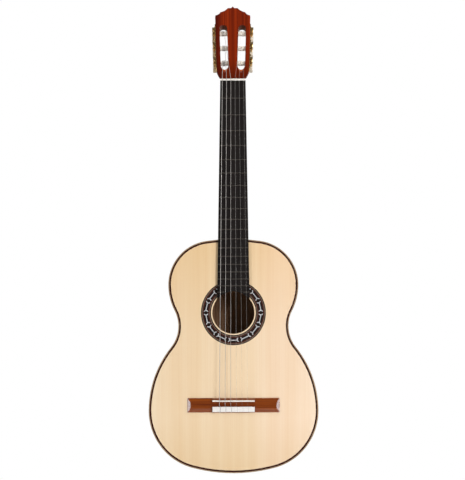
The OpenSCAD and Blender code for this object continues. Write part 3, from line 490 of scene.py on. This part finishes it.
def studio():
    """Pale floor, surround and soft lamps."""
    low = CAD_BOX[0]
    bpy.ops.mesh.primitive_circle_add(vertices=96, radius=FLOOR_R, fill_type="NGON",
                                      location=(0, 0, low[2] - FLOOR_DROP))
    floor = bpy.context.object
    floor.name = "floor"
    pale = Finish("pale_floor", 0.8)
    haze = pale.noise(pale.stretched((2, 2, 2)), 1.0, 2.0)
    pale.coloured(pale.ramp(haze, [(0.0, linear(236, 236, 236)), (1.0, linear(244, 244, 244))]))
    floor.data.materials.append(pale.material)
    surround()
    lamp("key", (1.15, -1.9, 0.15), (0, 0, -0.4), (0.4, 1.6), 29)
    lamp("fill", (-1.3, -1.8, -0.35), (0, 0, -0.45), (0.7, 2.0), 3)
    for side in (-1, 1):
        lamp("strip", (side * 1.66, -1.9, -1.0), (0, 0, -0.65), (0.3, 0.9), 8.5, COOL)
    lamp("top", (0, 0.2, 2.2), (0, 0.2, -1), (2.0, 2.0), 45)
    lamp("back", (0.9, 2.2, -0.2), (0, 0, -0.4), (1.2, 1.6), 26)


def lamp(name, place, target, size, watts, colour=(1, 1, 1)):
    """A softbox of that width and height, turned to its target."""
    data = bpy.data.lights.new(name, "AREA")
    data.shape = "RECTANGLE"
    data.size, data.size_y = size
    data.energy = watts
    data.color = colour
    light = bpy.data.objects.new(name, data)
    bpy.context.collection.objects.link(light)
    light.location = place
    light.rotation_euler = (Vector(target) - Vector(place)).to_track_quat("-Z", "Y").to_euler()


def camera():
    """The camera that took the photograph."""
    data = bpy.data.cameras.new("camera")
    data.sensor_fit = "HORIZONTAL"
    data.sensor_width = SENSOR_W
    data.lens = FOCAL_PX / IMAGE_W * SENSOR_W
    view = bpy.data.objects.new("camera", data)
    bpy.context.collection.objects.link(view)
    turn = Matrix.Rotation(math.pi / 2 + CAMERA_PITCH, 4, "X") @ Matrix.Rotation(CAMERA_ROLL, 4, "Z")
    view.matrix_world = Matrix.Translation(CAMERA_PLACE) @ turn
    bpy.context.scene.camera = view


def plan(x, y, z):
    """A point of the plan, with y along the neck and z out of the top, in the row frame in metres."""
    return Vector((x, -z, y)) * MM


def head_point(x, v, n):
    """A point of the tilted head, v up from the nut and n out of the veneer, in the plan."""
    tilt = Vector((math.cos(HEAD_TILT), math.sin(HEAD_TILT)))
    return Vector((x, NUT_T + v * tilt.x + n * tilt.y, n * tilt.x - v * tilt.y))


def side_point(side, a, w, n):
    """A point of one side of the head, a out from it and w up along it, in the plan."""
    lean_x, lean_y = math.cos(HEAD_LEAN), math.sin(HEAD_LEAN)
    return head_point(side * (SIDE_X + a * lean_x + w * lean_y), ROLLER_MID + w * lean_x - a * lean_y, n)


def seen_from_side(side, point):
    """The same place seen from the frame of one side of the head."""
    up, out = point.y - NUT_T, point.z
    v = up * math.cos(HEAD_TILT) - out * math.sin(HEAD_TILT)
    n = up * math.sin(HEAD_TILT) + out * math.cos(HEAD_TILT)
    dx, dv = side * point.x - SIDE_X, v - ROLLER_MID
    return Vector((dx * math.cos(HEAD_LEAN) - dv * math.sin(HEAD_LEAN),
                   dx * math.sin(HEAD_LEAN) + dv * math.cos(HEAD_LEAN), n))


def winding(i, entry):
    """The turns of string i round its roller, from where it leaves the nut."""
    r = STRING_D[i - 1] / 2
    side = 1 if i <= 3 else -1
    row = i - 1 if i <= 3 else 6 - i
    wind_r = ROLLER_R + WIND_GAP + r
    roller_w = ROLLER_ROWS[row]
    q = seen_from_side(side, entry)
    along, out = q.y - roller_w, q.z - ROLLER_N
    start = math.atan2(out, along) - math.acos(wind_r / math.hypot(along, out))
    points = []
    steps = WINDING_TURNS * LOOP_POINTS
    for k in range(steps + 1):
        t = start - 2 * math.pi * k / LOOP_POINTS
        a = WINDING_FROM[row] + WINDING_WAY[row] * WINDING_PITCH * k / LOOP_POINTS
        points.append(side_point(side, a, roller_w + wind_r * math.cos(t), ROLLER_N + wind_r * math.sin(t)))
    points.append(side_point(side, a, roller_w + wind_r * math.cos(t) + TAIL_LEN * math.sin(t),
                             ROLLER_N + wind_r * math.sin(t) - TAIL_LEN * math.cos(t)))
    return points


def tie(x, r):
    """The loop that ties a string to the bridge, ending on the saddle."""
    over = TIE_H + CAP_T + r + LAY_GAP
    back = TIE_BACK - r - 0.3
    front = TIE_FRONT + r + 0.2
    step = x + TIE_STEP
    return [Vector(p) for p in (
        (step, front, TIE_H - 1), (step, front - 0.1, over - 0.3), (step, front - 0.7, over),
        (step, TIE_BACK + 0.4, over), (x + 0.9 * TIE_STEP, back, over - 0.7),
        (x + 0.2 * TIE_STEP, back, TIE_HOLE_Z + 1), (x, back + 0.3, TIE_HOLE_Z + 0.2),
        (x, TIE_BACK + 0.8, TIE_HOLE_Z), (x, TIE_FRONT + 0.6, TIE_HOLE_Z),
        (x, TIE_FRONT + 1.2, TIE_HOLE_Z + 0.35), (x, SADDLE_Y - 0.6, SADDLE_H + LAY_GAP + r))]


def strings():
    """Six strings, each tied at the bridge, laid over saddle and nut and wound on its roller."""
    treble, bass = nylon(), wound()
    for i in range(1, 7):
        r = STRING_D[i - 1] / 2
        share = (3.5 - i) / 2.5
        saddle = Vector((share * SADDLE_SPREAD / 2, SADDLE_Y, SADDLE_H + LAY_GAP + r))
        nut = Vector((share * NUT_SPREAD / 2, 0, STRING_LOW + r))
        entry = nut + (nut - saddle) * NUT_T / (nut.y - saddle.y)
        route = tie(saddle.x, r) + [nut, entry] + winding(i, entry)
        curve = bpy.data.curves.new(f"string_{i}_wire", "CURVE")
        curve.dimensions = "3D"
        curve.bevel_depth = r * MM
        curve.bevel_resolution = 3
        curve.use_fill_caps = True
        line = curve.splines.new("POLY")
        line.points.add(len(route) - 1)
        for point, place in zip(line.points, route):
            point.co = (*plan(*place), 1)
        curve.materials.append(treble if i <= 3 else bass)
        wire = bpy.data.objects.new(f"string_{i}_wire", curve)
        bpy.context.collection.objects.link(wire)
        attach(wire, "guitar")
        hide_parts(f"string_{i}")


camera()
paint_nodes()
strings()
studio()
bpy.context.scene.view_settings.view_transform = "Standard"
